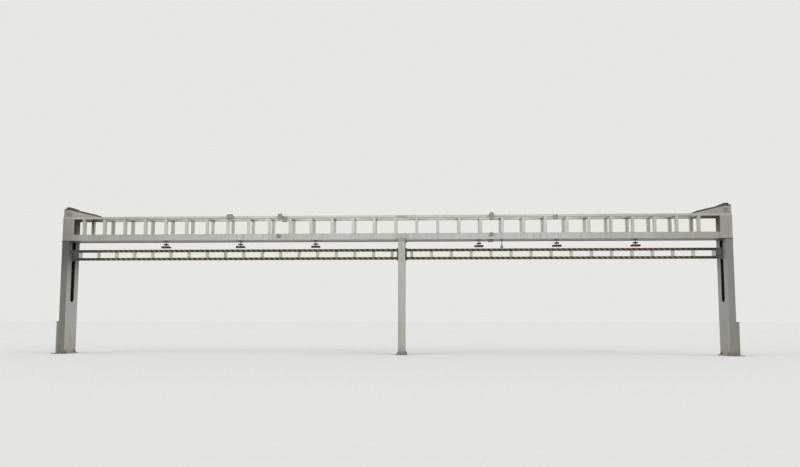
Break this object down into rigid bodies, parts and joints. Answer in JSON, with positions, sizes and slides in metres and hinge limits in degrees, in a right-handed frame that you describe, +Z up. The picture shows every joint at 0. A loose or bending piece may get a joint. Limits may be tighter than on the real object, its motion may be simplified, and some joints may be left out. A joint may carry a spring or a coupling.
{
  "type": "height restriction gantry",
  "caption": "Portal gantry over a two-way road: box columns, a lattice main beam and striped beams that lower in column slots to limit vehicle height.",
  "frame": {"origin": "on the ground, midway between the two end columns and between the front and rear faces", "axes": "+X across the road towards the shorter span, +Y along the road, +Z up"},
  "size_m": [32.03, 1.11, 7.04],
  "materials": {
    "frame_paint": "satin off-white paint, weathered",
    "cabinet_paint": "satin light grey paint",
    "rail_steel": "greased dark steel",
    "cover_paint": "matt dark grey paint",
    "sensor_case": "matt dark casing",
    "hazard_bar": "black and yellow warning bands",
    "lift_paint": "satin light grey paint",
    "carriage_steel": "dark primer, worn"
  },
  "bodies": {
    "gantry": {"left_column": "frame_paint", "right_column": "frame_paint", "centre_column": "frame_paint", "left_base_plate": "frame_paint", "right_base_plate": "frame_paint", "centre_base_plate": "frame_paint", "front_lower_chord": "frame_paint", "rear_lower_chord": "frame_paint", "left_front_truss": "frame_paint", "right_front_truss": "frame_paint", "left_rear_truss": "frame_paint", "right_rear_truss": "frame_paint", "top_bracing": "frame_paint", "cross_beams": "frame_paint", "left_end_cover": "frame_paint", "right_end_cover": "frame_paint", "left_sheave_housing": "frame_paint", "right_sheave_housing": "frame_paint", "centre_knees": "frame_paint", "soffit_plate": "frame_paint", "left_winch_cabinet": "cabinet_paint", "right_winch_cabinet": "cabinet_paint", "left_guide_rails": "rail_steel", "right_guide_rails": "rail_steel", "centre_guide_rails": "rail_steel", "left_housing_cover": "cover_paint", "right_housing_cover": "cover_paint", "left_lane_sensor_1": "sensor_case", "right_lane_sensor_1": "sensor_case", "left_lane_sensor_2": "sensor_case", "right_lane_sensor_2": "sensor_case", "left_lane_sensor_3": "sensor_case", "right_lane_sensor_3": "sensor_case"},
    "left_lift": {"left_lift_top_bar": "hazard_bar", "left_lift_bottom_bar": "hazard_bar", "left_lift_posts": "lift_paint", "left_lift_end_plate": "carriage_steel", "left_inner_carriage": "carriage_steel", "left_outer_carriage": "carriage_steel"},
    "right_lift": {"right_lift_top_bar": "hazard_bar", "right_lift_bottom_bar": "hazard_bar", "right_lift_posts": "lift_paint", "right_lift_end_plate": "carriage_steel", "right_inner_carriage": "carriage_steel", "right_outer_carriage": "carriage_steel"}
  },
  "joints": [
    {"name": "left_lift", "type": "slide", "parent": "gantry", "child": "left_lift", "axis": [0, 0, 1], "range_m": [-2, 0]},
    {"name": "right_lift", "type": "slide", "parent": "gantry", "child": "right_lift", "axis": [0, 0, 1], "range_m": [-2, 0]}
  ]
}
